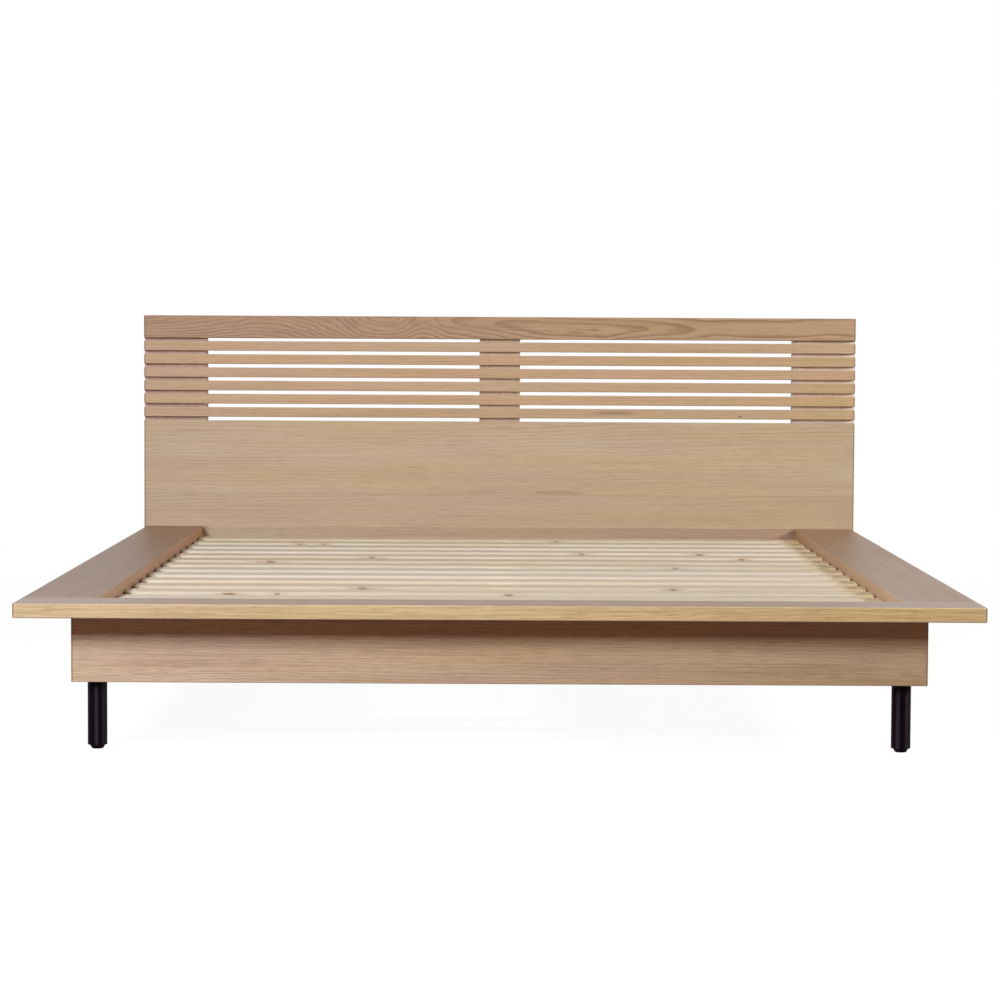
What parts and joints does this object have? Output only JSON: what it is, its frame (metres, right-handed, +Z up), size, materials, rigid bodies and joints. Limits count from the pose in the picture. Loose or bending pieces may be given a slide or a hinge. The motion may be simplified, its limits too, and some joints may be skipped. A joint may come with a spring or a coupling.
{
  "type": "double bed",
  "caption": "Low oak platform bed: wide ledges around a sunken slatted deck, headboard with a panel, open slats and a top rail, on black tube legs with levelling feet.",
  "frame": {"origin": "on the floor, under the middle of the bed's outer box", "axes": "+X across the bed to the right as seen from the foot end, +Y from foot to headboard, +Z up"},
  "size_m": [1.862, 2.215, 0.847],
  "materials": {
    "oak": "matt oiled",
    "pine": "planed, bare",
    "beech": "bare",
    "black_steel": "satin powder coat",
    "zinc_steel": "zinc plated",
    "black_plastic": "matt"
  },
  "bodies": {
    "bed": {"barrel_nuts": "zinc_steel", "batten_left": "pine", "batten_right": "pine", "beam_brackets": "zinc_steel", "bracket_screws": "zinc_steel", "centre_beam": "pine", "corner_block_front_left": "pine", "corner_block_front_right": "pine", "corner_block_rear_left": "pine", "corner_block_rear_right": "pine", "deck_screws": "zinc_steel", "deck_slat_01": "pine", "deck_slat_02": "pine", "deck_slat_03": "pine", "deck_slat_04": "pine", "deck_slat_05": "pine", "deck_slat_06": "pine", "deck_slat_07": "pine", "deck_slat_08": "pine", "deck_slat_09": "pine", "deck_slat_10": "pine", "deck_slat_11": "pine", "deck_slat_12": "pine", "deck_slat_13": "pine", "deck_slat_14": "pine", "foot_apron": "oak", "foot_ledge": "oak", "frame_screws": "zinc_steel", "headboard_bolts": "zinc_steel", "headboard_panel": "oak", "headboard_post_centre": "oak", "headboard_post_left": "oak", "headboard_post_right": "oak", "headboard_screws": "zinc_steel", "headboard_slat_1": "oak", "headboard_slat_2": "oak", "headboard_slat_3": "oak", "headboard_slat_4": "oak", "headboard_slat_5": "oak", "headboard_slat_6": "oak", "headboard_top_rail": "oak", "ledge_dowels": "beech", "leg_centre": "black_steel", "leg_front_left": "black_steel", "leg_front_right": "black_steel", "leg_inserts": "zinc_steel", "leg_rear_left": "black_steel", "leg_rear_right": "black_steel", "rear_rail": "oak", "side_apron_left": "oak", "side_apron_right": "oak", "side_ledge_left": "oak", "side_ledge_right": "oak"},
    "foot_front_left": {"levelling_foot_front_left": "black_plastic"},
    "foot_front_right": {"levelling_foot_front_right": "black_plastic"},
    "foot_rear_left": {"levelling_foot_rear_left": "black_plastic"},
    "foot_rear_right": {"levelling_foot_rear_right": "black_plastic"},
    "foot_centre": {"levelling_foot_centre": "black_plastic"}
  },
  "joints": [
    {"name": "level_front_left", "type": "slide", "parent": "bed", "child": "foot_front_left", "axis": [0, 0, -1], "range_m": [0, 0.012]},
    {"name": "level_front_right", "type": "slide", "parent": "bed", "child": "foot_front_right", "axis": [0, 0, -1], "range_m": [0, 0.012]},
    {"name": "level_rear_left", "type": "slide", "parent": "bed", "child": "foot_rear_left", "axis": [0, 0, -1], "range_m": [0, 0.012]},
    {"name": "level_rear_right", "type": "slide", "parent": "bed", "child": "foot_rear_right", "axis": [0, 0, -1], "range_m": [0, 0.012]},
    {"name": "level_centre", "type": "slide", "parent": "bed", "child": "foot_centre", "axis": [0, 0, -1], "range_m": [0, 0.012]}
  ]
}
